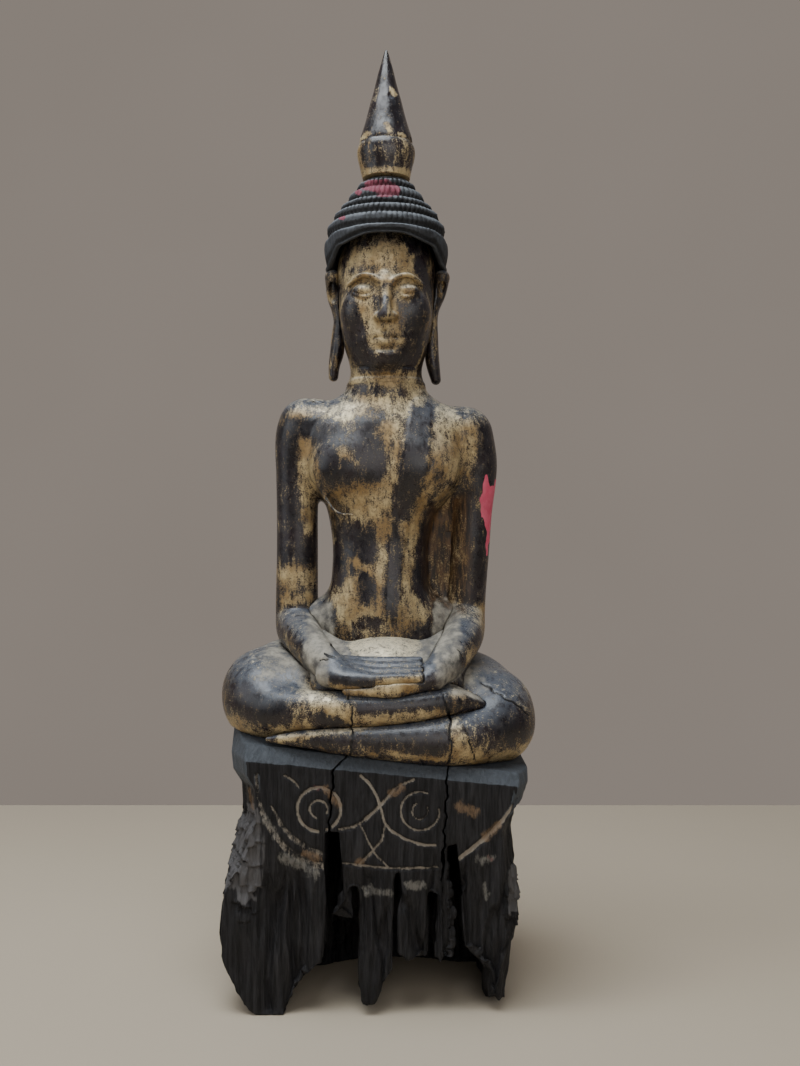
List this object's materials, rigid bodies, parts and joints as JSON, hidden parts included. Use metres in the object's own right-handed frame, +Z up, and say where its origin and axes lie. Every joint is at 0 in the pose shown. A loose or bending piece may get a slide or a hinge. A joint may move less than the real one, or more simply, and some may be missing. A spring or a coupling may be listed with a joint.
{
  "type": "seated buddha statue",
  "caption": "Carved wooden Buddha seated in meditation, worn gold leaf over black lacquer, tall lift-off spire, on a decayed block pedestal with scroll carving.",
  "frame": {"origin": "centre of the bounding box in plan, at the level of the feet of the pedestal", "axes": "+Z up along the figure to the tip of the finial, -Y the way the figure faces, +X towards the figure's own left hand"},
  "size_m": [0.2786, 0.1992, 0.841],
  "materials": {
    "black_lacquer": "black lacquer over carved wood, worn gold leaf in patches, semi gloss",
    "gold_leaf": "worn gold leaf over lacquered wood",
    "hair_paste": "matt dark lacquer paste, dusty",
    "weathered_wood": "blackened, weathered and split wood, satin",
    "bare_wood": "bare wood, unfinished"
  },
  "bodies": {
    "statue": {"hair_cap": "hair_paste", "head": "black_lacquer", "lap": "black_lacquer", "left_arm": "black_lacquer", "left_ear": "black_lacquer", "left_ear_peg": "bare_wood", "left_hand": "black_lacquer", "left_knee_dowel": "bare_wood", "left_leg": "black_lacquer", "left_shoulder_dowel": "bare_wood", "left_wrist_dowel": "bare_wood", "neck_dowel": "bare_wood", "pedestal_left_block": "weathered_wood", "pedestal_middle_block": "weathered_wood", "pedestal_right_block": "weathered_wood", "right_arm": "black_lacquer", "right_ear": "black_lacquer", "right_ear_peg": "bare_wood", "right_hand": "black_lacquer", "right_knee_dowel": "bare_wood", "right_leg": "black_lacquer", "right_shoulder_dowel": "bare_wood", "right_wrist_dowel": "bare_wood", "sanghati_sash": "gold_leaf", "seat_dowel_left": "bare_wood", "seat_dowel_middle": "bare_wood", "seat_dowel_right": "bare_wood", "torso": "black_lacquer", "waist_dowel": "bare_wood"},
    "finial": {"finial": "black_lacquer"}
  },
  "joints": [
    {"name": "finial_lift", "type": "slide", "parent": "statue", "child": "finial", "axis": [0, 0, 1], "range_m": [0, 0.034]}
  ]
}
